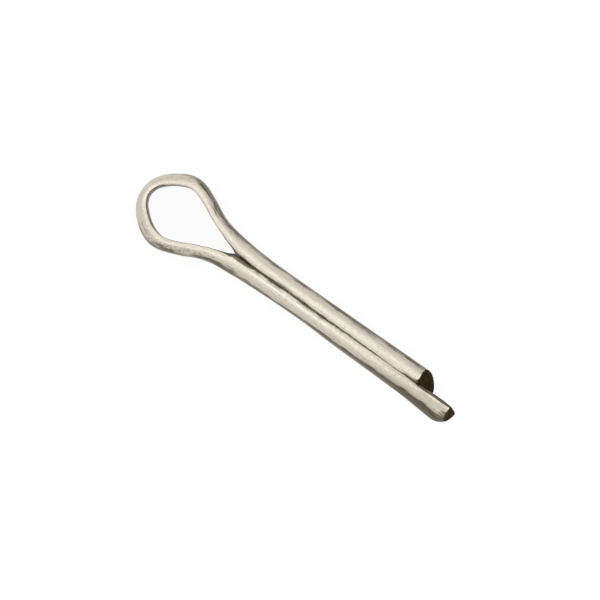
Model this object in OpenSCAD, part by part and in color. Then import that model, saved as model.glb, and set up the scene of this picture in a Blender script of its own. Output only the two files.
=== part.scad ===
// Cotter pin, also called a split pin. One length of half-round wire is folded back
// on itself: the fold is the eye, and the two legs lie flat to flat and make one round
// shank. The flat of the wire is on the inside all the way round. The long leg's bare end
// leans out a little and is twisted, so that its flat faces partly downwards.
//
// Millimetres. X runs along the shank towards the tips, Y across the two legs and Z
// square to the eye. The origin is on the shank's axis at the foot of the neck, where
// the straight legs begin to spread into the eye.

/* [Wire and shank] */
// Diameter of the round shank that the two legs make together
shank_d = 3.8; // [3.2:0.1:4.6]
// Gap between the flats of the two legs
leg_gap = 0.12; // [0.1:0.02:0.6]
// Radius of the rounded edges on both sides of the wire's flat
edge_r = 0.4; // [0.16:0.02:0.5]
// How much each stretch of wire is drawn in all round, from the leg to the crown
draw_step = 0.03; // [0.02:0.005:0.05]
// Length of the short leg, from the foot of the neck to its far end
short_leg_l = 24.6; // [12:0.2:60]
// How far the long leg runs on past the short one
prong_l = 3.2; // [1:0.1:8]

/* [Bare end of the long leg] */
// Length of the stretch that leans away from the shank's axis before the twist
lean_l = 6; // [3:0.1:8]
// Lean of that stretch and of the bare end, in degrees
lean_a = 1.8; // [1:0.2:4]
// Twist of the bare end about its own length, in degrees
twist_a = 25; // [10:1:30]
// Distance of the twisted flat from the bare end's own axis
twist_flat = 0.12; // [0.1:0.02:0.4]
// Angle between the twisted flat and the slope that leads into it, in degrees
slope_a = 7; // [5:1:12]

/* [Eye] */
// Width of the eye over the wire
eye_w = 9.1; // [8:0.1:12]
// Slope of the two flanks between the neck and the shoulders, in degrees
flank_a = 25; // [22:1:30]
// Bend radius at the neck, to the wire's back
neck_r = 14.6; // [8:0.2:18]
// Bend radius at the two shoulders, to the wire's back
shoulder_r = 4.2; // [3.2:0.1:5]
// Bend radius at the crown, to the wire's back
crown_r = 3.9; // [3:0.1:5]

/* [Sheared ends] */
// Slant of the short leg's end, along the shank for each unit upwards
short_slant = 0.6; // [0.2:0.05:0.8]
// Slant of the short leg's end, along the shank for each unit outwards
short_skew = 0.6; // [0:0.05:0.8]
// Slant of the long leg's end, along the shank for each unit upwards
long_slant = 0.3; // [0.1:0.05:0.6]
// Length of the long leg's end that the shears rolled over
roll_l = 1.9; // [1:0.1:2.5]
// Depth that the back of the long leg is rolled in by at its very end
roll_d = 0.9; // [0.2:0.1:0.9]

/* [Hidden] */
$fn = 96;
metal = [0.76, 0.73, 0.68];
shank_r = shank_d / 2;
half_gap = leg_gap / 2;
long_leg_l = short_leg_l + prong_l;

// Each stretch of wire runs this far into the stretches before and after it.
lap = 0.05;

// The rounded edges stand this far proud of the flat and the back, so that each arc
// crosses the line or the arc beside it rather than only touching it.
proud = 0.004;

// How far in the wire is drawn on each stretch, and in the straight legs not at all
neck_draw = draw_step;
flank_draw = 2 * draw_step;
shoulder_draw = 3 * draw_step;
ramp_draw = 4 * draw_step;
crown_draw = 5 * draw_step;

// The leaning stretch and the twisted one beyond it are drawn in as the eye's are.
lean_draw = draw_step;
twist_draw = 2 * draw_step;

// Above crossing_z the twisted flat crosses over to the short leg's side, so the twist is
// complete only where the short leg's slanted end has fallen below that height.
flat_out = lean_l * sin(lean_a) + (twist_flat + twist_draw) / cos(twist_a);
crossing_z = min(shank_r, (half_gap + flat_out) / tan(twist_a));
twist_x = short_leg_l - short_slant * (shank_r + crossing_z) + 2 * lap;
lean_x = twist_x - lean_l;
leaning_l = long_leg_l - lean_x;

// The eye is laid out to the back of the wire before it is drawn in: a chain of tangent
// arcs on each side of the shank's axis, for the neck, the straight flank, the shoulder,
// the ramp and the crown. Past the widest point the shoulder, the ramp and half the crown
// turn through equal angles, and the ramp's radius is the one that brings the crown's
// centre onto the axis.
turn = 90 / 3;
guide_w = eye_w / 2 + shoulder_draw;
flank_l = (guide_w - shank_r - (neck_r + shoulder_r) * (1 - cos(flank_a))) / sin(flank_a);
neck_c = [0, shank_r + neck_r];
flank_top = neck_c - neck_r * [sin(flank_a), cos(flank_a)] + flank_l * [-cos(flank_a), sin(flank_a)];
shoulder_c = flank_top - shoulder_r * [sin(flank_a), cos(flank_a)];
ramp_top = shoulder_c.y + shoulder_r * cos(turn);
ramp_r = (ramp_top - crown_r * sin(turn)) / (cos(turn) - sin(turn));
ramp_c = shoulder_c + (ramp_r - shoulder_r) * [sin(turn), -cos(turn)];
crown_c = ramp_c + (ramp_r - crown_r) * [-cos(turn), sin(turn)];

// Half-round section of the wire, drawn in all round. The origin is the centre of its
// round back, which faces +X, and the flat stands at flat_at before it is drawn in.
module wire_section(draw, flat_at = half_gap) {
    back_r = shank_r - draw;
    flat_x = flat_at + draw;
    edge = [flat_x + edge_r, sqrt(pow(back_r - edge_r, 2) - pow(flat_x + edge_r, 2))];
    touch = edge * back_r / (back_r - edge_r);
    intersection() {
        circle(r = back_r);
        translate([touch.x, -back_r])
            square([back_r, 2 * back_r]);
    }
    polygon([
        [flat_x, -edge.y],
        [edge.x, -edge.y],
        [touch.x, -touch.y],
        [touch.x, touch.y],
        [edge.x, edge.y],
        [flat_x, edge.y]
    ]);
    for (side = [-1, 1])
        translate([edge.x, side * edge.y])
            circle(r = edge_r + proud);
}

// Angle that an arc of the lap's length turns through
function lap_angle(radius) = lap / radius * 180 / PI;

// Wire bent from one bearing to another round centre, with its back at back_r facing
// outwards, or facing the centre where hollow is true
module bend(centre, back_r, from, to, draw, hollow = false) {
    start = from - lap_angle(back_r);
    end = to + lap_angle(back_r);
    translate(centre)
        rotate_extrude(angle = end - start, start = start)
            translate([back_r, 0])
                mirror([hollow ? 1 : 0, 0])
                    translate([-shank_r, 0])
                        wire_section(draw);
}

// Straight wire between the neck and the shoulder
module flank() {
    translate(flank_top)
        rotate(90 - flank_a)
            rotate([90, 0, 0])
                translate([-shank_r, 0, -lap])
                    linear_extrude(flank_l + 2 * lap)
                        wire_section(flank_draw);
}

// Half of the eye, from the foot of the neck to the end of the ramp
module half_eye() {
    bend(neck_c, neck_r, -90 - flank_a, -90, neck_draw, hollow = true);
    flank();
    bend(shoulder_c, shoulder_r, 90 - flank_a, 90 + turn, shoulder_draw);
    bend(ramp_c, ramp_r, 90 + turn, 90 + 2 * turn, ramp_draw);
}

// Crown of the eye, across the shank's axis
module crown() {
    bend(crown_c, crown_r, 180 - turn, 180 + turn, crown_draw);
}

// Straight wire along X on the +Y side of the axis, from a lap before one place to another
module straight(from, to, draw, flat_at = half_gap) {
    translate([from - lap, 0, 0])
        rotate([90, 0, 90])
            linear_extrude(to - from + lap)
                wire_section(draw, flat_at);
}

// What the shears took off past a slanted end that reaches tip_x at the underside
module sheared_off(tip_x, skew, slant) {
    size = 4 * shank_d;
    translate([tip_x - slant * shank_r, 0, 0])
        rotate([0, -atan2(slant, norm([1, skew])), atan(skew)])
            translate([0, -size / 2, -size / 2])
                cube(size);
}

// Round bar as long as the leaning end, with its own end rolled over by the shears
module rolled_bar() {
    roll_r = (pow(roll_l, 2) + pow(roll_d, 2)) / (2 * roll_d);
    roll_x = leaning_l - roll_l;
    rotate([90, 0, 90])
        rotate_extrude() {
            square([shank_d, roll_x]);
            intersection() {
                translate([shank_r - roll_r, roll_x])
                    circle(r = roll_r);
                translate([0, roll_x])
                    square([shank_d, roll_l]);
            }
        }
}

module short_leg() {
    difference() {
        straight(0, short_leg_l, 0);
        sheared_off(short_leg_l, short_skew, short_slant);
    }
}

// Places its children along the long leg's leaning end, with the lean's start at the origin
module leaning() {
    translate([lean_x, 0, 0])
        rotate(lean_a)
            children();
}

// What the twist takes off the flat, on a slope that leads into the twisted flat
module slope_off() {
    size = 4 * long_leg_l;
    translate([lean_l, 0, 0])
        rotate([twist_a, 0, slope_a])
            translate([-size / 2, twist_flat + twist_draw - lap / 2 - size, -size / 2])
                cube(size);
}

// Long leg up to where its twist is complete
module long_shank() {
    difference() {
        union() {
            straight(0, lean_x + lap, 0);
            leaning()
                straight(0, lean_l + lap, lean_draw);
        }
        leaning()
            slope_off();
    }
}

// Bare end of the long leg, leaning out and twisted
module prong() {
    difference() {
        leaning()
            intersection() {
                rotate([twist_a, 0, 0])
                    straight(lean_l, leaning_l, twist_draw, twist_flat);
                rolled_bar();
            }
        sheared_off(long_leg_l, 0, long_slant);
    }
}

module long_leg() {
    long_shank();
    prong();
}

module cotter_pin() {
    color(metal) {
        crown();
        half_eye();
        short_leg();
        mirror([0, 1, 0]) {
            half_eye();
            long_leg();
        }
    }
}

cotter_pin();
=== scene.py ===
"""Cotter pin: one length of half-round steel wire, folded back on itself into an eye and two legs.

The wire is made as the real one is. A straight grid is wrapped into the half-round section,
folded along the outline of the eye, sheared off slantwise at both tips and torn a little
there. Lengths are in millimetres until a vertex is placed, and the frame is in metres.
"""

import logging
import math
from dataclasses import dataclass
from enum import Enum

import bmesh
import bpy
from mathutils import Matrix, Vector, noise


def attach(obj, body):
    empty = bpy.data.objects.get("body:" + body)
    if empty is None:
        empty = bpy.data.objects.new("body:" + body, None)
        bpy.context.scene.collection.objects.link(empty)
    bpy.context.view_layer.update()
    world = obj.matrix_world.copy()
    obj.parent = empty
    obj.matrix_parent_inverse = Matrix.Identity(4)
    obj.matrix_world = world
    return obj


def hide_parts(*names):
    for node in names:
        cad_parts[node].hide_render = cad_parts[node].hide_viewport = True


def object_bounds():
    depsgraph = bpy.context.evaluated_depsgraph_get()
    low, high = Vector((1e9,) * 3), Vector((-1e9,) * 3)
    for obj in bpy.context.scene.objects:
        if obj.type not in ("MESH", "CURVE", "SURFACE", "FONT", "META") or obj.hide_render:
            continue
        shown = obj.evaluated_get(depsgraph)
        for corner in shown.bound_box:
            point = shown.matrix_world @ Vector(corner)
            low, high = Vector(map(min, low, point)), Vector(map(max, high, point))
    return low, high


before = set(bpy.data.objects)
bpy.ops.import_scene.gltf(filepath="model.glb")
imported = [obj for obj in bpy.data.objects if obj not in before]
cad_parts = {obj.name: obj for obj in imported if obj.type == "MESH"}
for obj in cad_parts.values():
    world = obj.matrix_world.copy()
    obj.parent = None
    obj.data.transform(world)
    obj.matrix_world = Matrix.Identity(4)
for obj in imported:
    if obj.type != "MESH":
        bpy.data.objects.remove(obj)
CAD_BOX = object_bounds()

MM = 0.001
MERGE = 1e-8
NODE = "cotter_pin"
log = logging.getLogger("cotter_pin")

Stops = tuple[tuple[float, float], ...]
Rgb = tuple[int, int, int]
Socket = bpy.types.NodeSocket


class Leg(Enum):
    """The two legs of the pin, each by the side of the shank's axis that it lies on."""

    SHORT = 1
    LONG = -1


class Mark(Enum):
    """What the steel's surface bears, painted shade and highlight among it, each by the name of its
    attribute on the mesh.
    """

    BAND = "band"
    SKIN = "skin_and_shade"
    RIDGE = "ridge"
    SPECKS = "specks"
    TIP_SHADE = "tip_shade"
    RUBBED = "rubbed"


def eased(x: float, stops: Stops) -> float:
    """Reads a value off a smooth curve through a few stops.

    Args:
        x: Where the value is read.
        stops: Pairs of a place and the value there, in rising order of place.

    Returns:
        The value, which keeps to the first or the last stop beyond them.
    """
    if x <= stops[0][0]:
        return stops[0][1]
    if x >= stops[-1][0]:
        return stops[-1][1]
    rises = [(b - a) / (q - p) for (p, a), (q, b) in zip(stops, stops[1:])]
    slopes = [0.0]
    for before, after in zip(rises, rises[1:]):
        slopes.append(2 * before * after / (before + after) if before * after > 0 else 0.0)
    slopes.append(0.0)
    i = next(k for k in range(len(rises)) if x < stops[k + 1][0])
    (start, first), (end, last) = stops[i], stops[i + 1]
    run = end - start
    share = (x - start) / run
    rise = last - first
    sweep = 3 * rise - (2 * slopes[i] + slopes[i + 1]) * run
    bend = (slopes[i] + slopes[i + 1]) * run - 2 * rise
    return first + share * (slopes[i] * run + share * (sweep + share * bend))


@dataclass(frozen=True)
class PerLeg:
    """A value that changes along the wire, and differs between the two legs.

    Attributes:
        short: Stops of the value on the short leg's side.
        long: Stops of the value on the long leg's side.
    """

    short: Stops
    long: Stops

    def at(self, leg: Leg, x: float) -> float:
        """Reads the value at one place on one side."""
        return eased(x, self.short if leg is Leg.SHORT else self.long)


@dataclass(frozen=True)
class EyeOutline:
    """The outside of the eye on one side of the axis: a chain of arcs from the crown to the leg.

    Attributes:
        half_w: Half of the eye's width over the wire.
        crown_x: Where the outside of the crown crosses the axis.
        shank_r: Radius of the shank that the two legs make together.
        crown_r: Bend radius at the crown.
        shoulder_r: Bend radius at the widest point.
        neck_r: Bend radius where the flank runs into the leg.
        flank_a: Slope of the flank, in degrees.
        turn_a: Turn of the half crown, the ramp, and the shoulder as far as its widest point.
        ease: Run over which the bend changes from one radius to the next.
        step: Spacing of the points that are kept along the outline.
    """

    half_w: float
    crown_x: float
    shank_r: float = 1.9
    crown_r: float = 3.73
    shoulder_r: float = 4.16
    neck_r: float = 14.7
    flank_a: float = 25.1
    turn_a: float = 30.0
    ease: float = 0.9
    step: float = 0.02

    def stretches(self) -> list[tuple[float, float]]:
        """Lays the stretches of the outline out, from the crown on.

        Returns:
            The length and the signed curvature of each stretch.
        """
        flank, turn = math.radians(self.flank_a), math.radians(self.turn_a)
        spread = (self.neck_r + self.shoulder_r) * (1 - math.cos(flank))
        flank_l = (self.half_w - self.shank_r - spread) / math.sin(flank)
        ramp_top = self.half_w - self.shoulder_r * (1 - math.cos(turn))
        ramp_r = (ramp_top - self.crown_r * math.sin(turn)) / (math.cos(turn) - math.sin(turn))
        return [
            (self.crown_r * turn, -1 / self.crown_r),
            (ramp_r * turn, -1 / ramp_r),
            (self.shoulder_r * (turn + flank), -1 / self.shoulder_r),
            (flank_l, 0.0),
            (self.neck_r * flank, 1 / self.neck_r),
        ]

    def length(self) -> float:
        """Length of wire from the middle of the crown to the foot of the neck."""
        return sum(run for run, _ in self.stretches())

    def curvature(self, s: float) -> float:
        """Finds the bend of the outline, eased across each joint between two stretches.

        Args:
            s: Run along the outline from the middle of the crown.

        Returns:
            The signed curvature there.
        """
        stretches = self.stretches() + [(self.ease, 0.0)]
        end = 0.0
        for (run, bend), (_, following) in zip(stretches, stretches[1:]):
            end += run
            if s < end + self.ease / 2:
                share = max(0.0, (s - end + self.ease / 2) / self.ease)
                return bend + (following - bend) * share * share * (3 - 2 * share)
        return 0.0

    def trace(self) -> list[tuple[Vector, float]]:
        """Walks the outline, and shifts it gradually so that it ends on the shank's radius.

        Returns:
            A point and its heading for each step.
        """
        heading = math.pi / 2
        place = Vector((self.crown_x, 0.0))
        kept = [(place.copy(), heading)]
        count = math.ceil((self.length() + self.ease) / self.step)
        for i in range(count):
            heading += self.curvature((i + 0.5) * self.step) * self.step
            place += Vector((math.cos(heading), math.sin(heading))) * self.step
            kept.append((place.copy(), heading))
        drift = self.shank_r - place.y
        for i, (point, _) in enumerate(kept):
            point.y += drift * i / count
        return kept


@dataclass(frozen=True)
class WireSection:
    """Half-round section of the wire: a round back, a flat, and rounded edges between them.

    Attributes:
        half_h: Half of the wire's width along its flat.
        flat_depth: How far the flat stands from the centre of the round back.
        squareness: Power of the back's oval, where 2 is a true round.
        back_points: Points round the back.
        edge_points: Points round each edge.
        flat_points: Points across the flat.
        halvings: Halvings of the search for where the back runs into an edge.
    """

    half_h: float
    flat_depth: float = 0.12
    squareness: float = 2.25
    back_points: int = 38
    edge_points: int = 8
    flat_points: int = 12
    halvings: int = 24

    def count(self) -> int:
        """Number of points round the section."""
        return self.back_points + 2 * self.edge_points + self.flat_points

    def back(self, angle: float, depth: float) -> tuple[Vector, Vector]:
        """Finds a point on the back and the way that it faces.

        Args:
            angle: Angle round the back from its outermost line, in radians.
            depth: Depth of the oval from the outermost line to its centre.

        Returns:
            The point, as depth inwards and height, and its outward normal.
        """
        power, rise = 2 / self.squareness, self.squareness - 1
        cos, sin = abs(math.cos(angle)) ** power, abs(math.sin(angle)) ** power
        side = math.copysign(1.0, angle)
        face = Vector((-(cos**rise) / depth, side * sin**rise / self.half_h))
        return Vector((depth * (1 - cos), side * self.half_h * sin)), face.normalized()

    def outline(self, thickness: float, edge_r: float) -> list[tuple[Vector, float]]:
        """Draws the section for one place along the wire.

        Args:
            thickness: From the outermost line of the back to the flat.
            edge_r: Radius of the rounded edges beside the flat.

        Returns:
            Points as depth inwards and height, each with the angle that its surface faces:
            0 outwards, 90 up, -90 down and 180 inwards.
        """
        depth = thickness + self.flat_depth
        low, high = 0.0, math.pi / 2
        for _ in range(self.halvings):
            corner = (low + high) / 2
            point, face = self.back(corner, depth)
            if point.x - edge_r * face.x > thickness - edge_r:
                high = corner
            else:
                low = corner
        point, face = self.back(corner, depth)
        centre = point - face * edge_r
        edge_from = math.atan2(face.y, -face.x)
        half = []
        for i in range(self.back_points // 2):
            point, face = self.back(corner * (i + 0.5) / (self.back_points / 2), depth)
            half.append((point, math.degrees(math.atan2(face.y, -face.x))))
        for i in range(self.edge_points):
            angle = edge_from + (math.pi - edge_from) * i / (self.edge_points - 1)
            point = centre + Vector((-math.cos(angle), math.sin(angle))) * edge_r
            half.append((point, math.degrees(angle)))
        for i in range(self.flat_points // 2):
            share = 1 - (i + 1) / (self.flat_points / 2 + 0.5)
            half.append((Vector((thickness, centre.y * share)), 180.0))
        return half + [(Vector((p.x, -p.y)), -face) for p, face in reversed(half)]


@dataclass(frozen=True)
class Station:
    """One place along the wire.

    Attributes:
        leg: The side of the pin that the place is on.
        s: Run along the back from the middle of the crown, negative towards the long leg's tip.
        outside: The outermost line of the back there, as x and y.
        inward: Direction from the back to the flat, as x and y.
        thickness: From back to flat.
        reach: Across the turned section from its outermost point to its innermost.
        edge_r: Radius of the rounded edges beside the flat.
        roll: Turn of the section about the shank's own direction, in radians.
        shrink: Scale of the section about the centre of its round back.
    """

    leg: Leg
    s: float
    outside: Vector
    inward: Vector
    thickness: float
    reach: float
    edge_r: float
    roll: float
    shrink: float


@dataclass(frozen=True)
class FoldedWire:
    """The whole wire, from the short leg's tip round the eye to the long leg's tip.

    Attributes:
        eye: Outline of the eye to the wire's back.
        section: Section of the wire.
        short_tip: Where the short leg ends, measured from the foot of the neck.
        long_tip: Where the long leg ends.
        spare: Extra wire past each end, which the shears take off.
        pitch: Spacing of the stations along the wire.
        eye_inset: How far the back lies inside the eye's outline, by the share of the way from
            the crown to the foot of the neck.
        eye_thickness: Thickness by the same, up to where the wire is held.
        leg_thickness: Thickness by the distance along each leg.
        leg_back: How far the back lies from the axis, by the distance along each leg.
        leg_inside: How far the innermost edge lies from the axis, by the same.
        edge_r: Radius of the rounded edges beside the flat, by the distance along the shank.
        edge_wave: Unevenness of that radius, as a share of it, by the distance along the shank.
        edge_waves: Waves of that unevenness to a millimetre.
        long_roll: Turn of the long leg in degrees, by the distance along it.
        held_from: Distance along each leg from which it begins to be held to leg_inside.
        held_by: Distance along each leg from which it is held to leg_inside.
        rolled_l: Length of the long leg's end that the shears rolled over.
        rolled_d: Depth that its back is rolled in by.
        roll_stop: Share of that length past which the roll gets no deeper.
    """

    eye: EyeOutline
    section: WireSection
    short_tip: float = 24.7
    long_tip: float = 27.7
    spare: float = 0.8
    pitch: float = 0.12
    eye_inset: PerLeg = PerLeg(
        short=(
            (0.0, 0.05), (0.11, 0.02), (0.26, 0.11), (0.39, 0.02), (0.50, 0.07), (0.58, 0.05),
            (0.70, 0.13), (0.83, 0.02), (1.0, 0.0),
        ),
        long=(
            (0.0, 0.05), (0.12, 0.0), (0.28, 0.05), (0.38, 0.02), (0.49, 0.10), (0.60, 0.02),
            (0.71, 0.10), (0.78, 0.07), (0.85, 0.0), (1.0, 0.0),
        ),
    )
    eye_thickness: PerLeg = PerLeg(
        short=(
            (0.0, 1.05), (0.08, 1.12), (0.17, 1.26), (0.25, 1.32), (0.34, 1.41), (0.42, 1.44),
            (0.56, 1.40), (0.70, 1.36), (0.76, 1.44),
        ),
        long=(
            (0.0, 1.05), (0.08, 1.20), (0.17, 1.42), (0.25, 1.50), (0.36, 1.56), (0.42, 1.53),
            (0.51, 1.42), (0.66, 1.46), (0.71, 1.43), (0.76, 1.52),
        ),
    )
    leg_thickness: PerLeg = PerLeg(
        short=((0.0, 1.87), (3.0, 1.78), (14.0, 1.855), (22.0, 1.935)),
        long=((0.0, 1.90), (4.0, 1.705), (8.0, 1.635), (20.0, 1.62), (26.0, 1.62)),
    )
    leg_back: PerLeg = PerLeg(
        short=((-3.5, 1.90), (-1.5, 1.95), (0.0, 1.88), (3.0, 1.79), (14.0, 1.87), (22.0, 1.95)),
        long=(
            (-3.5, 1.90), (-1.5, 2.01), (0.0, 1.95), (4.0, 1.79), (8.0, 1.73), (12.0, 1.86),
            (21.0, 1.98), (25.2, 2.24), (25.7, 2.27), (26.3, 2.18), (26.6, 2.06), (26.92, 1.85),
            (27.2, 1.58), (27.45, 1.26), (27.72, 0.86),
        ),
    )
    leg_inside: PerLeg = PerLeg(
        short=(
            (-4.8, 1.02), (-4.4, 0.89), (-4.0, 0.75), (-3.6, 0.625), (-3.2, 0.505), (-2.8, 0.385),
            (-2.5, 0.28), (-2.3, 0.18), (-2.1, 0.08), (-1.5, 0.07), (0.0, 0.02), (3.0, 0.004),
        ),
        long=(
            (-4.8, 0.97), (-4.4, 0.83), (-4.0, 0.70), (-3.6, 0.57), (-3.2, 0.44), (-2.8, 0.30),
            (-2.5, 0.16), (-2.3, 0.05), (-2.1, -0.06), (-1.5, -0.065), (0.0, -0.015), (3.0, 0.004),
            (20.0, 0.004), (22.0, -0.02), (23.2, -0.07), (24.2, -0.15), (24.8, -0.2), (25.6, -0.2),
            (26.2, -0.16), (26.7, -0.12), (27.1, -0.10), (27.4, -0.05), (27.6, 0.1), (27.7, 0.2),
        ),
    )
    edge_r: Stops = (
        (-5.0, 0.17), (-2.4, 0.42), (-1.8, 0.45), (-0.8, 0.41), (0.8, 0.40), (5.0, 0.35),
        (12.0, 0.28), (17.0, 0.18), (20.3, 0.14), (21.6, 0.30), (22.5, 0.42), (25.0, 0.50),
        (26.0, 0.40), (26.6, 0.28), (27.2, 0.2),
    )
    edge_wave: Stops = ((-3.0, 0.05), (6.0, 0.3), (12.0, 0.6), (21.0, 0.7), (23.0, 0.0))
    edge_waves: float = 0.9
    long_roll: Stops = (
        (7.0, 0.0), (12.0, 5.5), (16.0, 9.0), (21.0, 13.0), (24.2, 17.5), (25.4, 15.5),
        (26.4, 10.5), (27.1, 5.0),
    )
    held_from: float = -4.8
    held_by: float = -4.2
    rolled_l: float = 1.9
    rolled_d: float = 0.9
    roll_stop: float = 0.995

    def shrink_at(self, leg: Leg, x: float) -> float:
        """Scales the section where the shears rolled the long leg over.

        Args:
            leg: Side of the pin.
            x: Distance along it.

        Returns:
            The scale of the section.
        """
        into = (x - self.long_tip + self.rolled_l) / self.rolled_l
        if leg is Leg.SHORT or into <= 0:
            return 1.0
        drop = 1 - math.sqrt(1 - min(into, self.roll_stop) ** 2)
        return 1 - self.rolled_d / self.eye.shank_r * drop

    def station(self, s: float, trace: list[tuple[Vector, float]]) -> Station:
        """Finds the place, the bearing and the section of the wire at one run along it.

        Args:
            s: Run along the back from the middle of the crown.
            trace: The eye's outline, one point for each of its steps.

        Returns:
            The station.
        """
        leg = Leg.SHORT if s >= 0 else Leg.LONG
        run = abs(s) / self.eye.step
        if run < len(trace) - 1:
            share = run - int(run)
            (place, heading), (following, next_heading) = trace[int(run)], trace[int(run) + 1]
            outside = place.lerp(following, share)
            heading += (next_heading - heading) * share
        else:
            place, heading = trace[-1][0], 0.0
            outside = Vector((place.x + abs(s) - (len(trace) - 1) * self.eye.step, place.y))
        part = abs(s) / self.eye.length()
        thickness = self.eye_thickness.at(leg, part)
        inward = Vector((math.sin(heading), -math.cos(heading)))
        outside += inward * self.eye_inset.at(leg, part)
        outside.y += self.leg_back.at(leg, outside.x) - self.eye.shank_r
        under = outside.x + inward.x * self.eye.shank_r
        reach = thickness
        if under > self.held_from:
            share = min(1.0, (under - self.held_from) / (self.held_by - self.held_from))
            reach += ((outside.y - self.leg_inside.at(leg, under)) / -inward.y - thickness) * share
        thickness = reach if outside.x < 0 else self.leg_thickness.at(leg, outside.x)
        roll = 0.0
        if leg is Leg.LONG:
            outside.y, inward.y = -outside.y, -inward.y
            roll = math.radians(eased(outside.x, self.long_roll))
        wave = noise.noise(Vector((outside.x * self.edge_waves, leg.value, 0.0)))
        edge_r = eased(outside.x, self.edge_r) * (1 + wave * eased(outside.x, self.edge_wave))
        shrink = self.shrink_at(leg, outside.x)
        return Station(leg, s, outside, inward, thickness, reach, edge_r, roll, shrink)

    def ring(self, station: Station) -> list[tuple[Vector, Vector, float]]:
        """Places the section at one station.

        Args:
            station: Where the section stands.

        Returns:
            For each point of the section its place in metres, its place on the straight wire,
            and the angle that its surface faces.
        """
        outline = self.section.outline(station.thickness, station.edge_r)
        centre = station.thickness + self.section.flat_depth
        cos, sin = math.cos(station.roll) * station.shrink, math.sin(station.roll) * station.shrink
        turned = [
            ((point.x - centre) * cos + point.y * sin, point.y * cos - (point.x - centre) * sin)
            for point, _ in outline
        ]
        first, last = min(depth for depth, _ in turned), max(depth for depth, _ in turned)
        stretch = station.reach / (last - first)
        placed = []
        for (point, angle), (depth, height) in zip(outline, turned):
            flat = station.outside + station.inward * (depth - first) * stretch
            place = Vector((flat.x, flat.y, height)) * MM
            placed.append((place, Vector((station.s, point.x, point.y)), angle))
        return placed

    def stations(self) -> list[Station]:
        """Sets the stations out along the wire.

        Returns:
            The stations from the long leg's tip to the short leg's.
        """
        trace = self.eye.trace()
        straight = (len(trace) - 1) * self.eye.step - trace[-1][0].x
        first = -(straight + self.long_tip + self.spare)
        last = straight + self.short_tip + self.spare
        count = math.ceil((last - first) / self.pitch)
        return [self.station(first + (last - first) * i / count, trace) for i in range(count + 1)]


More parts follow.
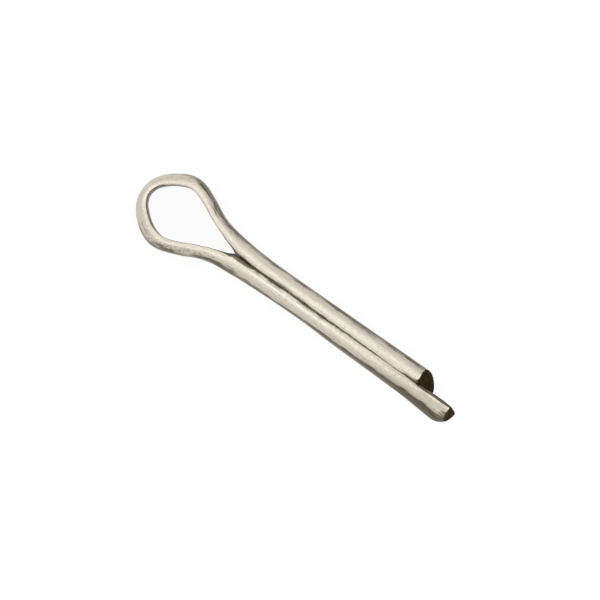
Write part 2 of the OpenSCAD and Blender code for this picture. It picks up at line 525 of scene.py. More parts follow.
@dataclass(frozen=True)
class Wear:
    """Where the drawn wire bears staining, painted shade, burnish, a painted highlight and specks,
    by place along it and round it.

    Places along it are distances along the shank. Angles and widths round it are in degrees
    from the outermost line of its back, alike upwards and downwards.

    Attributes:
        stain_and_shade_to: Angle that the staining and painted shade on the back reach.
        stain_and_shade_soft: Width of their edge.
        specks: How thickly the brown specks lie.
        speck_at: Angle of the strip where they lie.
        speck_width: Width of that strip.
        split_specks: How thickly darker specks lie beside the split.
        split_specks_from: Place along the shank where those specks begin.
        split_specks_at: Angle of their strip.
        split_specks_width: Width of that strip.
        ridge_at: Angle of the ridge on the back, with its burnish and painted highlight.
        ridge_width: Width of that ridge.
        ridge_strength: How strong its burnish and painted highlight are.
        tip_shade: How far the bright metal is darkened by painted shade, growing towards the tips.
        inner_shade_from: Angle past which the inner side is darkened too, by painted shade.
        inner_shade_soft: Width of that painted shade's edge.
        rubbed: How far the staining and painted shade are rubbed off again along the outermost
            line.
        rubbed_width: Width of the rubbed strip.
        flat_from: Angle past which the surface counts as the flat, which stays dull and is darkened
            further by painted shade.
        flat_soft: Width of the edge of that dull, shaded flat.
    """

    # Dark band at the back's sides: painted shade for the dark reflection there and at the long
    # leg's nose, over some real staining.
    stain_and_shade_to: PerLeg = PerLeg(
        short=(
            (-14.0, 6.0), (-11.5, 14.0), (-9.0, 42.0), (-7.0, 47.0), (-4.5, 41.0), (-1.0, 36.0),
            (2.0, 31.0), (12.0, 35.0),
        ),
        long=(
            (-14.0, 10.0), (-11.0, 30.0), (-9.2, 44.0), (-7.7, 34.0), (-6.3, 32.0), (-5.0, 36.0),
            (-2.0, 45.0), (0.0, 38.0), (2.0, 33.0), (12.0, 33.0), (22.0, 36.0), (23.6, 36.0),
            (25.4, 33.0), (26.6, 50.0), (27.1, 62.0),
        ),
    )
    stain_and_shade_soft: PerLeg = PerLeg(
        short=((-14.0, 26.0), (-9.0, 36.0), (-4.0, 34.0), (0.0, 24.0)),
        long=(
            (-14.0, 26.0), (-9.0, 34.0), (-3.0, 30.0), (2.0, 16.0), (12.0, 7.0), (22.0, 9.0),
            (25.4, 9.0), (26.6, 45.0),
        ),
    )
    specks: PerLeg = PerLeg(
        short=((-14.0, 0.15), (-10.0, 0.5), (-4.0, 0.5), (-2.0, 0.1)),
        long=((-14.0, 0.15), (-11.5, 0.9), (-6.0, 0.9), (-2.0, 0.15)),
    )
    speck_at: float = 44.0
    speck_width: float = 20.0
    split_specks: PerLeg = PerLeg(
        short=((-3.0, 0.4), (6.0, 0.3), (14.0, 0.5), (20.0, 1.1), (21.6, 2.4), (22.4, 0.0)),
        long=((-3.0, 0.16), (6.0, 0.12), (14.0, 0.2), (20.0, 0.44), (21.6, 0.96), (22.4, 0.0)),
    )
    split_specks_from: float = -3.0
    split_specks_at: Stops = ((8.0, 100.0), (16.0, 92.0), (20.5, 91.0), (21.4, 87.0))
    split_specks_width: Stops = ((8.0, 24.0), (16.0, 6.0))
    # The ridge is a painted highlight along the top of the wire, laid with some real burnish.
    ridge_at: Stops = (
        (-4.0, 72.0), (-2.0, 78.0), (2.0, 76.0), (8.0, 74.0), (21.0, 72.5), (24.5, 76.0),
        (26.0, 79.0), (27.0, 84.0),
    )
    ridge_width: PerLeg = PerLeg(short=((0.0, 10.0),), long=((0.0, 6.0),))
    ridge_strength: PerLeg = PerLeg(
        short=((0.0, 0.4),),
        long=((-12.0, 0.5), (0.0, 0.75), (12.0, 0.85), (22.0, 1.0), (24.0, 2.4)),
    )
    # Painted shade: the bright metal is darkened towards the tips, most on the long leg's end.
    tip_shade: PerLeg = PerLeg(
        short=((8.0, 0.0), (20.0, 0.2)),
        long=((8.0, 0.0), (17.0, 0.35), (22.0, 0.75), (26.0, 0.8)),
    )
    # Darkened inner side: painted shade in the crotch of the split and along the long leg's bare
    # end.
    inner_shade_from: PerLeg = PerLeg(
        short=((-13.9, 112.0), (-13.3, 162.0), (-12.4, 171.0), (-9.0, 195.0), (-3.0, 200.0)),
        long=(
            (-13.6, 112.0), (-12.6, 155.0), (-11.8, 168.0), (-8.0, 194.0), (-4.2, 200.0),
            (-2.9, 130.0), (-2.1, 97.0), (-1.6, 87.0), (-0.9, 88.0), (0.0, 97.0), (0.6, 130.0),
            (1.2, 200.0), (21.8, 200.0), (22.4, 97.0), (25.0, 98.0), (26.0, 99.0), (27.0, 104.0),
        ),
    )
    inner_shade_soft: float = 12.0
    rubbed: PerLeg = PerLeg(
        short=((-14.0, 1.0), (8.0, 1.0), (16.0, 0.8)),
        long=((-14.0, 1.0), (8.0, 0.9), (20.0, 0.2), (22.0, 0.0)),
    )
    rubbed_width: float = 17.0
    # The flats and their rounded edges are dull, and darkened further by painted shade in the split
    # and on the eye's inner walls.
    flat_from: PerLeg = PerLeg(
        short=(
            (-13.9, 110.0), (-13.2, 170.0), (-2.8, 170.0), (-2.1, 132.0), (0.0, 122.0),
            (5.0, 120.0), (11.0, 126.0), (17.0, 142.0), (19.4, 140.0), (20.4, 100.0), (21.3, 85.0),
        ),
        long=(
            (-11.5, 110.0), (-9.5, 170.0), (-2.2, 160.0), (-1.5, 98.0), (0.0, 112.0), (5.0, 114.0),
            (11.0, 126.0), (17.0, 150.0), (21.5, 158.0), (22.4, 170.0),
        ),
    )
    flat_soft: Stops = (
        (-11.0, 30.0), (-2.1, 42.0), (1.0, 60.0), (5.0, 70.0), (18.5, 70.0), (20.8, 10.0),
    )

    @staticmethod
    def strip(angle: float, at: float, width: float) -> float:
        """Share of a soft strip at one angle, which is 1 in the middle of the strip."""
        return math.exp(-(((abs(angle) - at) / width) ** 2))

    def band(self, leg: Leg, x: float, angle: float) -> float:
        """Tells how far into the staining and painted shade a point is, in widths of their edge."""
        back = (self.stain_and_shade_to.at(leg, x) - abs(angle)) / self.stain_and_shade_soft.at(leg, x)
        return max(back, (abs(angle) - self.inner_shade_from.at(leg, x)) / self.inner_shade_soft)

    def skin_and_shade(self, leg: Leg, x: float, angle: float) -> float:
        """Tells how far onto the dull flat and its painted shade a point lies, in widths of their
        edge.
        """
        return (abs(angle) - self.flat_from.at(leg, x)) / eased(x, self.flat_soft)

    def ridge(self, leg: Leg, x: float, angle: float) -> float:
        """Tells how strong the burnish and painted highlight are at a point."""
        strip = self.strip(angle, eased(x, self.ridge_at), self.ridge_width.at(leg, x))
        return self.ridge_strength.at(leg, x) * strip

    def speck(self, leg: Leg, x: float, angle: float) -> float:
        """Tells how thickly the specks lie at a point, on the back and beside the split.

        Args:
            leg: Side of the pin.
            x: Place along the shank.
            angle: Angle that the surface faces.

        Returns:
            How thickly the thicker of the two lies.
        """
        back = self.specks.at(leg, x) * self.strip(angle, self.speck_at, self.speck_width)
        if x < self.split_specks_from:
            return back
        strip = self.strip(angle, eased(x, self.split_specks_at), eased(x, self.split_specks_width))
        return max(back, self.split_specks.at(leg, x) * strip)

    def rub(self, leg: Leg, x: float, angle: float) -> float:
        """Tells how far the staining and painted shade are rubbed off again at a point."""
        return self.rubbed.at(leg, x) * self.strip(angle, 0.0, self.rubbed_width)

    def marks(self, leg: Leg, x: float, angle: float) -> dict[Mark, float]:
        """Tells all that the surface bears at a point.

        Args:
            leg: Side of the pin.
            x: Place along the shank.
            angle: Angle that the surface faces.

        Returns:
            The value of each mark.
        """
        return {
            Mark.BAND: self.band(leg, x, angle),
            Mark.SKIN: self.skin_and_shade(leg, x, angle),
            Mark.RIDGE: self.ridge(leg, x, angle),
            Mark.SPECKS: self.speck(leg, x, angle),
            Mark.TIP_SHADE: self.tip_shade.at(leg, x),
            Mark.RUBBED: self.rub(leg, x, angle),
        }


@dataclass(frozen=True)
class ShearedEnd:
    """A sheared end: a slanting plane, and the torn surface that the shears left on it.

    Attributes:
        leg: The leg that it ends.
        tip_x: Where its plane meets the axis at the underside.
        bottom: Height of the underside.
        skew: Slant along the shank for each unit outwards.
        slant: Slant along the shank for each unit upwards.
        reach: Length of the leg, up to tip_x, that the shears may touch.
        rings: Rings of faces across the end.
        tear: Depth of the tearing.
        edge_tear: Depth to which the wire's own edge is torn, from none at mid-height to all of
            it a millimetre up.
        torn_l: Length over which the tearing fades out behind the end.
        grain: Size of the torn grain, in grains to a millimetre.
        octaves: Loss of depth and gain in fineness from each octave of the grain to the next,
            and the number of octaves.
        chip_at: Place across the end of a chip in its edge, outwards and upwards.
        chip_depth: Depth of the chip along the shank.
        chip_width: Width of the chip.
    """

    leg: Leg
    tip_x: float
    bottom: float
    skew: float
    slant: float
    reach: float = 6.0
    rings: int = 9
    tear: float = 0.16
    edge_tear: float = 0.14
    torn_l: float = 0.5
    grain: float = 2.6
    octaves: tuple[float, float, int] = (0.8, 2.1, 4)
    chip_at: tuple[float, float] = (0.0, 0.0)
    chip_depth: float = 0.0
    chip_width: float = 0.35

    def plane(self) -> tuple[Vector, Vector]:
        """Gives a point on the plane in metres, and its normal."""
        normal = Vector((1.0, self.skew, self.slant)).normalized()
        return Vector((self.tip_x + self.slant * self.bottom, 0.0, 0.0)) * MM, normal

    def close(
        self, bm: bmesh.types.BMesh, edges: list[bmesh.types.BMEdge]
    ) -> set[bmesh.types.BMVert]:
        """Closes the end with rings of faces.

        Args:
            bm: The wire, sheared off but open.
            edges: Edges round the open end.

        Returns:
            The vertices of the closed end, its rim among them.
        """
        before = set(bm.faces)
        face = bmesh.ops.edgeloop_fill(bm, edges=edges)["faces"][0]
        for edge in edges:
            edge.smooth = False
        shift = Matrix.Translation(-face.calc_center_median())
        for i in range(self.rings):
            face = bmesh.ops.extrude_discrete_faces(bm, faces=[face])["faces"][0]
            closer = 1 - 1 / (self.rings + 1 - i)
            bmesh.ops.scale(bm, verts=face.verts, vec=(closer, closer, closer), space=shift)
        bmesh.ops.poke(bm, faces=[face])
        cap = [f for f in bm.faces if f not in before]
        for f in cap:
            f.material_index = 1
        return {v for f in cap for v in f.verts}

    def torn(self, co: Vector, behind: float, depth: float) -> float:
        """Works out how far the tearing and the chip move one point along the shank.

        Args:
            co: The point, in metres.
            behind: How far it lies behind the plane.
            depth: Depth of the tearing there.

        Returns:
            The move.
        """
        fade = max(0.0, 1 - max(0.0, behind) / self.torn_l) ** 2
        off = math.hypot(co.y / MM - self.chip_at[0], co.z / MM - self.chip_at[1]) / self.chip_width
        chip = self.chip_depth * math.exp(-(off**2))
        return fade * (depth * noise.fractal(co / MM * self.grain, *self.octaves) - chip)

    def cut(self, bm: bmesh.types.BMesh, along: bmesh.types.BMLayerItem) -> None:
        """Shears the leg off, closes the end, and tears it.

        Args:
            bm: The wire, with this end still open.
            along: Layer that holds each vertex's place on the straight wire.
        """
        start = (self.tip_x - self.reach) * MM
        near = {v for v in bm.verts if v[along].x * self.leg.value > 0 and v.co.x > start}
        geom = [f for f in bm.faces if near.issuperset(f.verts)]
        geom += [e for e in bm.edges if near.issuperset(e.verts)]
        geom += [v for v in bm.verts if v in near]
        place, normal = self.plane()
        result = bmesh.ops.bisect_plane(
            bm, geom=geom, dist=MERGE, plane_co=place, plane_no=normal, clear_outer=True
        )
        edges = [e for e in result["geom_cut"] if isinstance(e, bmesh.types.BMEdge)]
        end = self.close(bm, edges)
        inner = end - {v for e in edges for v in e.verts}
        for v in end | {v for v in near if v.is_valid}:
            behind = (place - v.co).dot(normal) / MM
            upper = min(1.0, max(0.0, v.co.z / MM))
            depth = self.tear if v in inner else self.edge_tear * upper
            v.co.x += self.torn(v.co, behind, depth) * MM


class Wiring:
    """Adds nodes to one node tree and joins them up."""

    def __init__(self, tree: bpy.types.NodeTree) -> None:
        """Starts on an emptied tree."""
        self.tree = tree
        tree.nodes.clear()

    def add(
        self, kind: str, inputs: dict[str | int, object] | None = None, **settings: object
    ) -> bpy.types.Node:
        """Adds a node.

        Args:
            kind: Type name of the node.
            inputs: Sockets to set or to link, by name or number.
            **settings: Properties of the node itself.

        Returns:
            The node.
        """
        node = self.tree.nodes.new(kind)
        for name, value in settings.items():
            setattr(node, name, value)
        for key, value in (inputs or {}).items():
            if isinstance(value, Socket):
                self.tree.links.new(value, node.inputs[key])
            else:
                node.inputs[key].default_value = value
        return node

    def maths(self, operation: str, *values: object) -> Socket:
        """Works out one number from others."""
        return self.add("ShaderNodeMath", dict(enumerate(values)), operation=operation).outputs[0]

    def weighed(self, start: object, *parts: tuple[Socket, object]) -> Socket:
        """Adds parts to a number.

        Args:
            start: The number.
            *parts: Pairs of a part and its weight.

        Returns:
            The sum.
        """
        for part, weight in parts:
            start = self.maths("ADD", start, self.maths("MULTIPLY", part, weight))
        return start

    def attribute(self, name: str, output: str) -> Socket:
        """Reads one of the piece's own attributes."""
        return self.add("ShaderNodeAttribute", attribute_name=name).outputs[output]

    def mark(self, mark: Mark) -> Socket:
        """Reads what the surface bears."""
        return self.attribute(mark.value, "Fac")

    def edged(self, mark: Mark, waver: Socket) -> Socket:
        """Turns a mark into a mask with an edge that wavers.

        Args:
            mark: The mark, 0 on the edge of what it marks and rising into it.
            waver: How far the edge is moved, from 0 to 1.

        Returns:
            The mask.
        """
        edge = {"Value": self.maths("ADD", self.mark(mark), waver)}
        return self.add("ShaderNodeMapRange", edge, interpolation_type="SMOOTHSTEP").outputs[0]

    def blend(self, factor: object, first: object, second: object) -> Socket:
        """Blends two colours.

        Args:
            factor: Share of the second colour.
            first: The first colour.
            second: The second colour.

        Returns:
            The blend.
        """
        inputs = {0: factor, 6: first, 7: second}
        return self.add("ShaderNodeMix", inputs, data_type="RGBA").outputs[2]

    def tint(self, colour: object, mask: Socket, cover: float, tint: Rgb) -> Socket:
        """Lays a tint over a colour."""
        return self.blend(self.maths("MULTIPLY", mask, cover), colour, linear(tint))

    def finish(self, shader: bpy.types.Node) -> None:
        """Sends a shader to the material's surface."""
        self.add("ShaderNodeOutputMaterial", {"Surface": shader.outputs[0]})


def linear(rgb: Rgb) -> tuple[float, float, float, float]:
    """Turns a colour in 0 to 255 into the linear values that a shader takes."""
    parts = [c / 255 for c in rgb]
    return (*[c / 12.92 if c < 0.04045 else ((c + 0.055) / 1.055) ** 2.4 for c in parts], 1.0)


def new_material(name: str) -> tuple[bpy.types.Material, Wiring]:
    """Starts a material.

    Args:
        name: Name of the material.

    Returns:
        The material and its nodes, which are emptied.
    """
    material = bpy.data.materials.new(name)
    material.use_nodes = True
    return material, Wiring(material.node_tree)


@dataclass(frozen=True)
class Grain:
    """Stretched noise brought to a mask from 0 to 1, by a shader node group.

    Attributes:
        scale: Grains to a unit of the place.
        stretch: Scale of the place along each axis.
        detail: Octaves of finer grain.
        low: Level of the noise that gives 0.
        high: Level of the noise that gives 1.
        name: Name of the node group that every grain shares.
    """

    scale: float
    stretch: tuple[float, float, float] = (1.0, 1.0, 1.0)
    detail: float = 3.0
    low: float = 0.3
    high: float = 0.7
    name: str = "Stretched grain"

    def group(self) -> bpy.types.NodeTree:
        """Builds the node group, or finds the one built before.

        Returns:
            The group.
        """
        if self.name in bpy.data.node_groups:
            return bpy.data.node_groups[self.name]
        tree = bpy.data.node_groups.new(self.name, "ShaderNodeTree")
        kinds = {"Place": "Vector", "Stretch": "Vector"}
        for name in ("Place", "Stretch", "Scale", "Detail", "Low", "High"):
            kind = "NodeSocket" + kinds.get(name, "Float")
            tree.interface.new_socket(name, in_out="INPUT", socket_type=kind)
        tree.interface.new_socket("Mask", in_out="OUTPUT", socket_type="NodeSocketFloat")
        w = Wiring(tree)
        given = w.add("NodeGroupInput").outputs
        ends = {0: given["Place"], 1: given["Stretch"]}
        place = w.add("ShaderNodeVectorMath", ends, operation="MULTIPLY")
        grain = w.add("ShaderNodeTexNoise", {
            "Vector": place.outputs[0], "Scale": given["Scale"], "Detail": given["Detail"],
            "Roughness": 0.55,
        })
        mask = w.add("ShaderNodeMapRange", {
            "Value": grain.outputs["Fac"], "From Min": given["Low"], "From Max": given["High"],
        }, interpolation_type="SMOOTHSTEP")
        w.add("NodeGroupOutput", {"Mask": mask.outputs[0]})
        return tree

    def mask(self, w: Wiring, place: Socket) -> Socket:
        """Adds the group to a material.

        Args:
            w: The material's nodes.
            place: Where the grain is read.

        Returns:
            The mask.
        """
        return w.add("ShaderNodeGroup", {
            "Place": place, "Stretch": self.stretch, "Scale": self.scale, "Detail": self.detail,
            "Low": self.low, "High": self.high,
        }, node_tree=self.group()).outputs["Mask"]


@dataclass(frozen=True)
class DrawnSteel:
    """Drawn and tumbled steel wire: warm, satin, cloudy, streaked, with staining and painted shade
    at the sides.

    A cover is the share of the colour beneath that a tint hides.

    Attributes:
        light: Colour of the brightest metal.
        dull: Colour of the dullest bright metal.
        burnished_highlight: Colour of the ridge, burnish and painted highlight together.
        tip_shaded: Colour of the painted shade towards the tips.
        stained_and_shaded: Colour of the staining and painted shade, and of the pits.
        specked: Colour of the specks on the back and beside the split.
        skinned_and_shaded: Colour of the dull flats, with painted shade in the split and on the
            eye's inner walls.
        clouds: Broad clouds.
        patches: Patches in the dull flats and their painted shade.
        streaks: Fine lengthwise marks of the drawing.
        beads: Beads along the ridge.
        pits: Pits.
        brown: Where specks can stand.
        cloud_tone: Share of the clouds in the tone of the bright metal.
        streak_tone: Share of the streaks in it.
        beading: Share of the ridge that comes and goes with the beads.
        ridge_cover: Cover of the ridge's burnish and painted highlight.
        stain_and_shade_shift: How far the edge of the staining and painted shade is moved out.
        streak_waver: How far the streaks move that edge.
        cloud_waver: How far the clouds move it.
        stain_and_shade_cover: Cover of the staining and painted shade between the streaks.
        stain_and_shade_streaks: What the streaks add to that cover.
        rub_off: Share of the staining and painted shade that rubbing takes off between the streaks.
        rub_streaks: What the streaks keep of it.
        skin_and_shade_waver: How far the patches move the edge of the dull flats and their painted
            shade.
        skin_and_shade_cover: Cover of the dull flats and their painted shade.
        speck_cover: Cover of the specks.
        pit_cover: Cover of the pits.
        roughness: Roughness of the bright metal.
        ridge_polish: What the ridge takes off it.
        stain_and_shade_rough: What the staining and painted shade add to it.
        cloud_rough: What the clouds add to it.
        streak_height: Height of the streaks, as a share of the relief.
        cloud_height: Height of the clouds.
        pit_depth: Depth of the pits.
        bead_height: Height of the beads on bright metal.
        bead_loss: What the staining and painted shade take off that height.
        relief: Depth of the whole relief.
    """

    light: Rgb = (215, 207, 195)
    dull: Rgb = (202, 194, 181)
    burnished_highlight: Rgb = (240, 232, 220)
    tip_shaded: Rgb = (184, 175, 161)
    stained_and_shaded: Rgb = (92, 84, 71)
    specked: Rgb = (112, 92, 68)
    skinned_and_shaded: Rgb = (120, 108, 90)
    clouds: Grain = Grain(1.3, (0.45, 1.0, 1.0), low=0.32, high=0.68)
    patches: Grain = Grain(0.9, (0.6, 0.2, 0.2), low=0.35, high=0.65)
    streaks: Grain = Grain(6.0, (0.10, 1.0, 1.0))
    beads: Grain = Grain(4.6, (0.55, 1.0, 1.0), detail=2.0, low=0.35, high=0.65)
    pits: Grain = Grain(7.5, (0.8, 1.0, 1.0), detail=1.0, low=0.62, high=0.74)
    brown: Grain = Grain(3.2, (0.8, 1.0, 1.0), low=0.48, high=0.62)
    cloud_tone: float = 0.4
    streak_tone: float = 0.6
    beading: float = 0.7
    ridge_cover: float = 0.85
    stain_and_shade_shift: float = 0.3
    streak_waver: float = 0.8
    cloud_waver: float = 0.4
    stain_and_shade_cover: float = 0.86
    stain_and_shade_streaks: float = 0.16
    rub_off: float = 0.66
    rub_streaks: float = 0.3
    skin_and_shade_waver: float = 0.8
    skin_and_shade_cover: float = 0.9
    speck_cover: float = 0.6
    pit_cover: float = 0.35
    roughness: float = 0.4
    ridge_polish: float = 0.10
    stain_and_shade_rough: float = 0.08
    cloud_rough: float = 0.08
    streak_height: float = 0.4
    cloud_height: float = 0.3
    pit_depth: float = 0.5
    bead_height: float = 0.3
    bead_loss: float = 0.22
    relief: float = 0.02

    def stain_and_shade(self, w: Wiring, clouds: Socket, streaks: Socket) -> Socket:
        """Wavers the edge of the staining and painted shade, streaks it, and rubs it off again
        where it is rubbed.

        Args:
            w: The material's nodes.
            clouds: Mask of the clouds.
            streaks: Mask of the streaks.

        Returns:
            Mask of the staining and painted shade.
        """
        waver = w.maths("SUBTRACT", streaks, 0.5)
        waver = w.maths("MULTIPLY_ADD", waver, self.streak_waver, self.stain_and_shade_shift)
        waver = w.maths("MULTIPLY_ADD", clouds, self.cloud_waver, waver)
        cover = w.maths("MULTIPLY_ADD", streaks, self.stain_and_shade_streaks, self.stain_and_shade_cover)
        stain_and_shade = w.maths("MULTIPLY", w.edged(Mark.BAND, waver), cover)
        rubbed = w.maths("MULTIPLY_ADD", streaks, -self.rub_streaks, self.rub_off)
        rubbed = w.maths("MULTIPLY", w.mark(Mark.RUBBED), rubbed)
        return w.maths("MULTIPLY", stain_and_shade, w.maths("SUBTRACT", 1.0, rubbed))

    def material(self) -> bpy.types.Material:
        """Makes the material.

        Returns:
            The material.
        """
        material, w = new_material("drawn_steel")
        place = w.attribute("wire", "Vector")
        grains = (self.clouds, self.patches, self.streaks, self.beads, self.pits, self.brown)
        clouds, patches, streaks, beads, pits, brown = (grain.mask(w, place) for grain in grains)
        tone = w.weighed(w.maths("MULTIPLY", clouds, self.cloud_tone), (streaks, self.streak_tone))
        colour = w.blend(tone, linear(self.dull), linear(self.light))
        # Painted shade, darkening the bright metal towards the tips.
        colour = w.blend(w.mark(Mark.TIP_SHADE), colour, linear(self.tip_shaded))
        beading = w.maths("MULTIPLY_ADD", beads, self.beading, 1 - self.beading)
        ridge = w.maths("MULTIPLY", w.mark(Mark.RIDGE), beading)
        # Painted highlight along the ridge, with some real burnish.
        colour = w.tint(colour, ridge, self.ridge_cover, self.burnished_highlight)
        stain_and_shade = self.stain_and_shade(w, clouds, streaks)
        # Dark band: staining, with painted shade for the sides' dark reflection and for the shade
        # in the crotch.
        colour = w.blend(stain_and_shade, colour, linear(self.stained_and_shaded))
        # Dull flats, darkened further by painted shade in the split and on the eye's inner walls.
        skin_and_shade = w.edged(Mark.SKIN, w.maths("MULTIPLY", patches, self.skin_and_shade_waver))
        colour = w.tint(colour, skin_and_shade, self.skin_and_shade_cover, self.skinned_and_shaded)
        specks = w.maths("MULTIPLY", brown, w.mark(Mark.SPECKS))
        colour = w.tint(colour, specks, self.speck_cover, self.specked)
        colour = w.tint(colour, pits, self.pit_cover, self.stained_and_shaded)
        rough = w.weighed(
            w.maths("MULTIPLY_ADD", ridge, -self.ridge_polish, self.roughness),
            (stain_and_shade, self.stain_and_shade_rough), (clouds, self.cloud_rough),
        )
        bead_height = w.maths("MULTIPLY_ADD", stain_and_shade, -self.bead_loss, self.bead_height)
        height = w.weighed(
            w.maths("MULTIPLY", streaks, self.streak_height),
            (clouds, self.cloud_height), (pits, -self.pit_depth), (beads, bead_height),
        )
        bump = w.add("ShaderNodeBump", {
            "Strength": 1.0, "Distance": self.relief * MM, "Height": height,
        })
        w.finish(w.add("ShaderNodeBsdfPrincipled", {
            "Base Color": colour, "Roughness": rough, "Metallic": 1.0, "Normal": bump.outputs[0],
        }))
        return material


@dataclass(frozen=True)
class TornSteel:
    """Torn, darkened steel on the sheared ends: dark brown, partly painted shade for faces turned
    from the light.

    Attributes:
        dark: Colour of the darkest metal, partly painted shade.
        lighter: Colour of the lightest.
        patches: Patches.
        grit: Fine grit.
        contrast: Share of the way from dark to lighter that a patch or the grit goes by itself.
        roughness: Roughness between the grit.
        grit_polish: What the grit takes off it.
        grit_height: Height of the grit, as a share of the patches'.
        relief: Depth of the whole relief.
    """

    # Dark brown, partly painted shade for end faces turned away from the light.
    dark: Rgb = (47, 36, 9)
    lighter: Rgb = (64, 51, 27)
    patches: Grain = Grain(2.6, (1.0, 1.0, 0.4), low=0.4, high=0.75)
    grit: Grain = Grain(8.0, (1.0, 1.0, 0.6), low=0.35, high=0.75)
    contrast: float = 0.4
    roughness: float = 0.8
    grit_polish: float = 0.2
    grit_height: float = 0.5
    relief: float = 0.06

    def material(self) -> bpy.types.Material:
        """Makes the material.

        Returns:
            The material.
        """
        material, w = new_material("torn_steel")
        place = w.add("ShaderNodeTexCoord").outputs["Object"]
        place = w.add("ShaderNodeVectorMath", {0: place, 3: 1 / MM}, operation="SCALE").outputs[0]
        patches, grit = self.patches.mask(w, place), self.grit.mask(w, place)
        tone = w.maths("MULTIPLY", w.maths("ADD", patches, grit), self.contrast)
        height = w.weighed(patches, (grit, self.grit_height))
        bump = w.add("ShaderNodeBump", {
            "Strength": 1.0, "Distance": self.relief * MM, "Height": height,
        })
        w.finish(w.add("ShaderNodeBsdfPrincipled", {
            "Base Color": w.blend(tone, linear(self.dark), linear(self.lighter)),
            "Roughness": w.maths("MULTIPLY_ADD", grit, -self.grit_polish, self.roughness),
            "Metallic": 0.9, "IOR": 1.2, "Normal": bump.outputs[0],
        }))
        return material


@dataclass(frozen=True)
class PalePaper:
    """Pale paper that is seen as almost plain white, and still takes a shadow.

    Attributes:
        dark: The darker shade of its fibres.
        light: The lighter shade.
        fibre: Fibres of the paper, with places in metres.
        roughness: Roughness of the paper.
        whiteness: Share of plain white in what is seen of it.
    """

    dark: Rgb = (249, 249, 249)
    light: Rgb = (252, 252, 252)
    fibre: Grain = Grain(900.0)
    roughness: float = 0.9
    whiteness: float = 0.92

    def material(self) -> bpy.types.Material:
        """Makes the material.

        Returns:
            The material.
        """
        material, w = new_material("pale_paper")
        fibre = self.fibre.mask(w, w.add("ShaderNodeTexCoord").outputs["Object"])
        colour = w.blend(fibre, linear(self.dark), linear(self.light))
        paper = {"Base Color": colour, "Roughness": self.roughness}
        paper = w.add("ShaderNodeBsdfPrincipled", paper).outputs[0]
        white = w.add("ShaderNodeEmission", {"Color": (1.0, 1.0, 1.0, 1.0), "Strength": 1.0})
        rays = w.add("ShaderNodeLightPath").outputs
        seen = w.maths("ADD", rays["Is Glossy Ray"], rays["Is Transmission Ray"])
        seen = w.maths("ADD", rays["Is Camera Ray"], seen)
        seen = w.maths("MULTIPLY", seen, self.whiteness)
        w.finish(w.add("ShaderNodeMixShader", {0: seen, 1: paper, 2: white.outputs[0]}))
        return material


@dataclass(frozen=True)
class CotterPin:
    """The cotter pin, one piece of wire.

    Attributes:
        wire: The folded wire.
        ends: Its two sheared ends.
        wear: What its surface bears.
        steel: Finish of the wire.
        torn_steel: Finish of the two ends.
    """

    wire: FoldedWire
    ends: tuple[ShearedEnd, ...] = (
        ShearedEnd(
            Leg.SHORT, tip_x=24.56, bottom=-1.9, skew=0.48, slant=0.57,
            chip_at=(0.1, 1.7), chip_depth=0.2,
        ),
        ShearedEnd(
            Leg.LONG, tip_x=27.74, bottom=-1.45, skew=-0.02, slant=0.33, tear=0.1, edge_tear=0.05
        ),
    )
    wear: Wear = Wear()
    steel: DrawnSteel = DrawnSteel()
    torn_steel: TornSteel = TornSteel()

    def fold(self, bm: bmesh.types.BMesh) -> None:
        """Wraps a flat grid into the wire, folds the wire, and shears its ends.

        Args:
            bm: An empty bmesh.
        """
        stations = self.wire.stations()
        count, around = len(stations) - 1, self.wire.section.count()
        bmesh.ops.create_grid(bm, x_segments=count, y_segments=around, size=1.0)
        along = bm.verts.layers.float_vector.new("wire")
        layers = {mark: bm.verts.layers.float.new(mark.value) for mark in Mark}
        rings = [self.wire.ring(station) for station in stations]
        for v in bm.verts:
            i = round((v.co.x + 1) / 2 * count)
            j = round((v.co.y + 1) / 2 * around) % around
            v.co, v[along], angle = rings[i][j]
            marks = self.wear.marks(stations[i].leg, stations[i].outside.x, angle)
            for mark, value in marks.items():
                v[layers[mark]] = value
        bmesh.ops.remove_doubles(bm, verts=bm.verts, dist=MERGE)
        for end in self.ends:
            end.cut(bm, along)

    def build(self) -> bpy.types.Object:
        """Makes the piece and dresses it.

        Returns:
            The piece.
        """
        bm = bmesh.new()
        self.fold(bm)
        bmesh.ops.recalc_face_normals(bm, faces=bm.faces)
        for face in bm.faces:
            face.smooth = True
        mesh = bpy.data.meshes.new("cotter_pin_wire")
        bm.to_mesh(mesh)
        bm.free()
        mesh.materials.append(self.steel.material())
        mesh.materials.append(self.torn_steel.material())
        piece = bpy.data.objects.new("cotter_pin_wire", mesh)
        bpy.context.scene.collection.objects.link(piece)
        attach(piece, "root")
        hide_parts(NODE)
        return piece


@dataclass(frozen=True)
class Lamp:
    """One square soft lamp.

    Attributes:
        bearing: Side of the pin that it hangs on, in degrees about the vertical, from the side
            of the tips.
        lean: Angle off the vertical, in degrees.
        size: Side of the square, in metres.
        radiance: Radiance of its face.
    """

    bearing: float
    lean: float
    size: float
    radiance: float


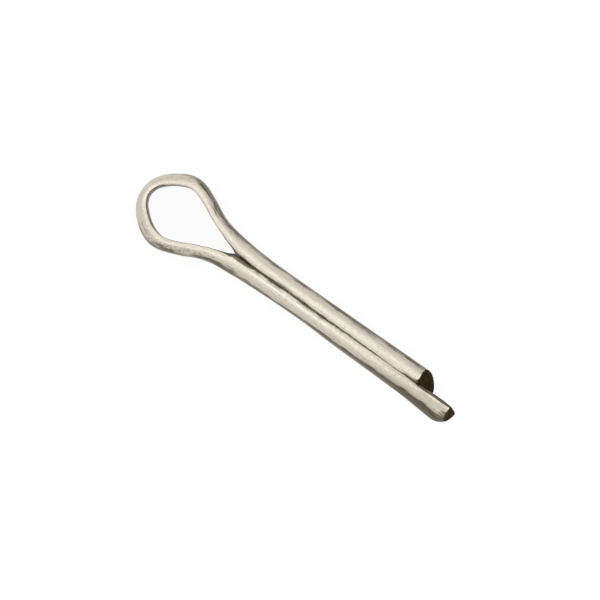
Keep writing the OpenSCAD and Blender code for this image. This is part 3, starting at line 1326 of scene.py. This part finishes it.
@dataclass(frozen=True)
class Studio:
    """The floor, the soft lamps, the world and the camera.

    Attributes:
        floor_z: Height of the floor, in metres.
        floor_w: Half of the floor's width, in metres.
        paper: Finish of the floor.
        view_px: Width and height of the view.
        pixels_per_mm: Scale of the view.
        origin_px: Where the view shows the frame's origin, from its upper left corner.
        axis_a: Fall of the shank's axis below the horizontal of the view, in degrees.
        tilt_a: Lean of the line of sight along the shank, in degrees.
        distance: From the camera to the pin, in metres.
        clip: Nearest and farthest distance that the camera sees, in metres.
        lamps: The soft lamps.
        lamp_reach: Distance of each lamp, in metres.
        sky: Radiance of the world.
    """

    floor_z: float
    floor_w: float = 1.5
    paper: PalePaper = PalePaper()
    view_px: int = 600
    pixels_per_mm: float = 9.13
    origin_px: tuple[float, float] = (250.9, 265.8)
    axis_a: float = 35.4
    tilt_a: float = 1.5
    distance: float = 0.45
    clip: tuple[float, float] = (0.01, 10.0)
    lamps: tuple[Lamp, ...] = (
        Lamp(bearing=0.0, lean=42.0, size=0.36, radiance=1.1),
        Lamp(bearing=90.0, lean=36.0, size=0.36, radiance=0.92),
        Lamp(bearing=180.0, lean=46.0, size=0.42, radiance=1.3),
        Lamp(bearing=270.0, lean=36.0, size=0.30, radiance=1.05),
    )
    lamp_reach: float = 0.6
    sky: float = 0.88

    def aim(self) -> Vector:
        """Finds the point of the frame that the middle of the view shows.

        Returns:
            The point, in metres.
        """
        axis = math.radians(self.axis_a)
        right, down = ((self.view_px / 2 - px) / self.pixels_per_mm for px in self.origin_px)
        x = right * math.cos(axis) + down * math.sin(axis)
        y = right * math.sin(axis) - down * math.cos(axis)
        return Vector((x, y, 0.0)) * MM

    def camera(self) -> None:
        """Sets the camera up."""
        axis, tilt = math.radians(self.axis_a), math.radians(self.tilt_a)
        back = Vector((math.sin(tilt), 0.0, math.cos(tilt)))
        up = Vector((-math.sin(axis), math.cos(axis), 0.0))
        right = up.cross(back).normalized()
        up = back.cross(right)
        data = bpy.data.cameras.new("camera")
        data.lens = self.pixels_per_mm / MM * self.distance / self.view_px * data.sensor_width
        data.clip_start, data.clip_end = self.clip
        camera = bpy.data.objects.new("camera", data)
        turn = Matrix((right, up, back)).transposed().to_4x4()
        camera.matrix_world = Matrix.Translation(self.aim() + back * self.distance) @ turn
        bpy.context.scene.collection.objects.link(camera)
        bpy.context.scene.camera = camera

    def hang(self, lamp: Lamp, name: str) -> None:
        """Hangs one lamp.

        Args:
            lamp: The lamp.
            name: Name for its object.
        """
        lean, bearing = math.radians(lamp.lean), math.radians(lamp.bearing)
        side = math.sin(lean)
        away = Vector((side * math.cos(bearing), side * math.sin(bearing), math.cos(lean)))
        data = bpy.data.lights.new(name, "AREA")
        data.shape = "SQUARE"
        data.size = lamp.size
        data.energy = lamp.radiance * math.pi * lamp.size**2
        light = bpy.data.objects.new(name, data)
        turn = away.to_track_quat("Z", "Y").to_matrix().to_4x4()
        light.matrix_world = Matrix.Translation(self.aim() + away * self.lamp_reach) @ turn
        bpy.context.scene.collection.objects.link(light)

    def world(self) -> None:
        """Lights the room evenly."""
        world = bpy.data.worlds.new("room")
        world.use_nodes = True
        w = Wiring(world.node_tree)
        white = {"Color": (1.0, 1.0, 1.0, 1.0), "Strength": self.sky}
        sky = w.add("ShaderNodeBackground", white)
        w.add("ShaderNodeOutputWorld", {"Surface": sky.outputs[0]})
        bpy.context.scene.world = world

    def floor(self) -> None:
        """Lays the floor."""
        bm = bmesh.new()
        bmesh.ops.create_grid(bm, x_segments=2, y_segments=2, size=self.floor_w)
        bmesh.ops.translate(bm, verts=bm.verts, vec=(0.0, 0.0, self.floor_z))
        mesh = bpy.data.meshes.new("floor")
        bm.to_mesh(mesh)
        bm.free()
        mesh.materials.append(self.paper.material())
        floor = bpy.data.objects.new("floor", mesh)
        bpy.context.scene.collection.objects.link(floor)

    def build(self) -> None:
        """Builds the whole studio."""
        self.camera()
        for i, lamp in enumerate(self.lamps):
            self.hang(lamp, f"softbox_{i}")
        self.world()
        self.floor()
        bpy.context.scene.view_settings.view_transform = "Standard"


def main() -> None:
    """Builds the pin and the studio round it."""
    logging.basicConfig(level=logging.INFO, format="%(message)s")
    low, high = CAD_BOX
    pin = CotterPin(FoldedWire(
        eye=EyeOutline(half_w=high.y / MM, crown_x=low.x / MM),
        section=WireSection(half_h=-low.z / MM),
    ))
    piece = pin.build()
    log.info("%s: %d faces", piece.name, len(piece.data.polygons))
    studio = Studio(floor_z=min(v.co.z for v in piece.data.vertices))
    studio.build()
    log.info("studio: camera, %d lamps and floor", len(studio.lamps))


if __name__ == "__main__":
    main()
